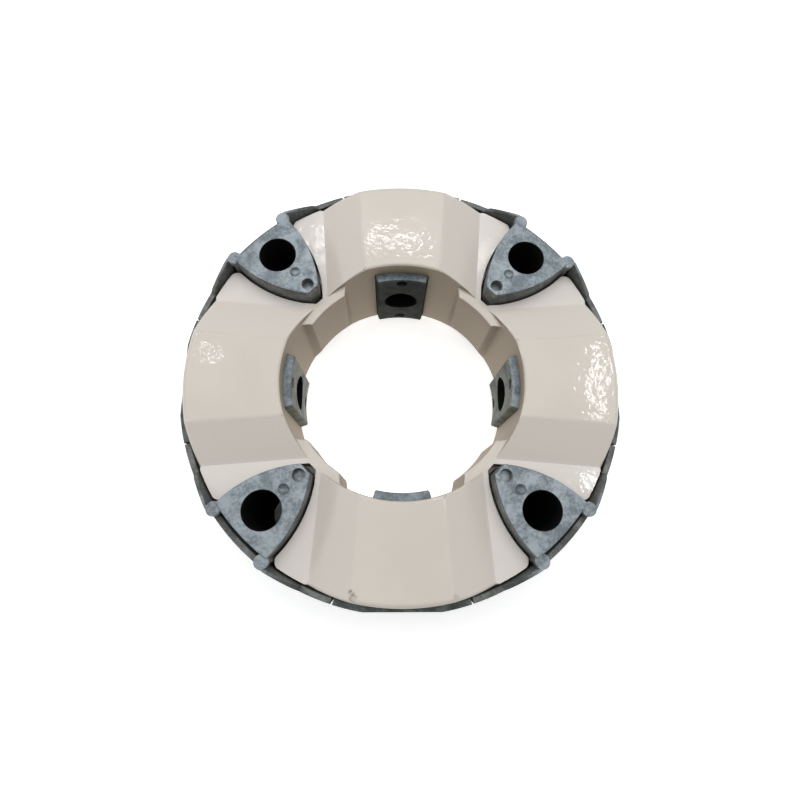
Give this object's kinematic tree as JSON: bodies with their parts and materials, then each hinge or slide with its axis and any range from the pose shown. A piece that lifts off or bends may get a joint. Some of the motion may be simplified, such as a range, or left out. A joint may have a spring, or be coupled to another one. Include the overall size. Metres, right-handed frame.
{
  "type": "flexible shaft coupling element",
  "caption": "Ring-shaped flexible coupling element: a cream moulded ring with cast aluminium inserts for axial and radial bolts.",
  "frame": {"origin": "on the shaft axis, at the back face of the axial inserts", "axes": "+Z along the shaft axis towards the front face seen in the picture, +X through the middle of radial_insert_1, +Y through the middle of radial_insert_2"},
  "size_m": [0.1982, 0.1982, 0.064],
  "materials": {
    "elastic_ring": "cream moulded engineering plastic with a soft gloss",
    "axial_casting": "as-cast, mottled bluish grey",
    "radial_casting": "as-cast, mottled grey"
  },
  "bodies": {
    "root": {"elastic_ring": "elastic_ring", "axial_insert_1": "axial_casting", "axial_insert_2": "axial_casting", "axial_insert_3": "axial_casting", "axial_insert_4": "axial_casting", "radial_insert_1": "radial_casting", "radial_insert_2": "radial_casting", "radial_insert_3": "radial_casting", "radial_insert_4": "radial_casting"}
  },
  "joints": []
}
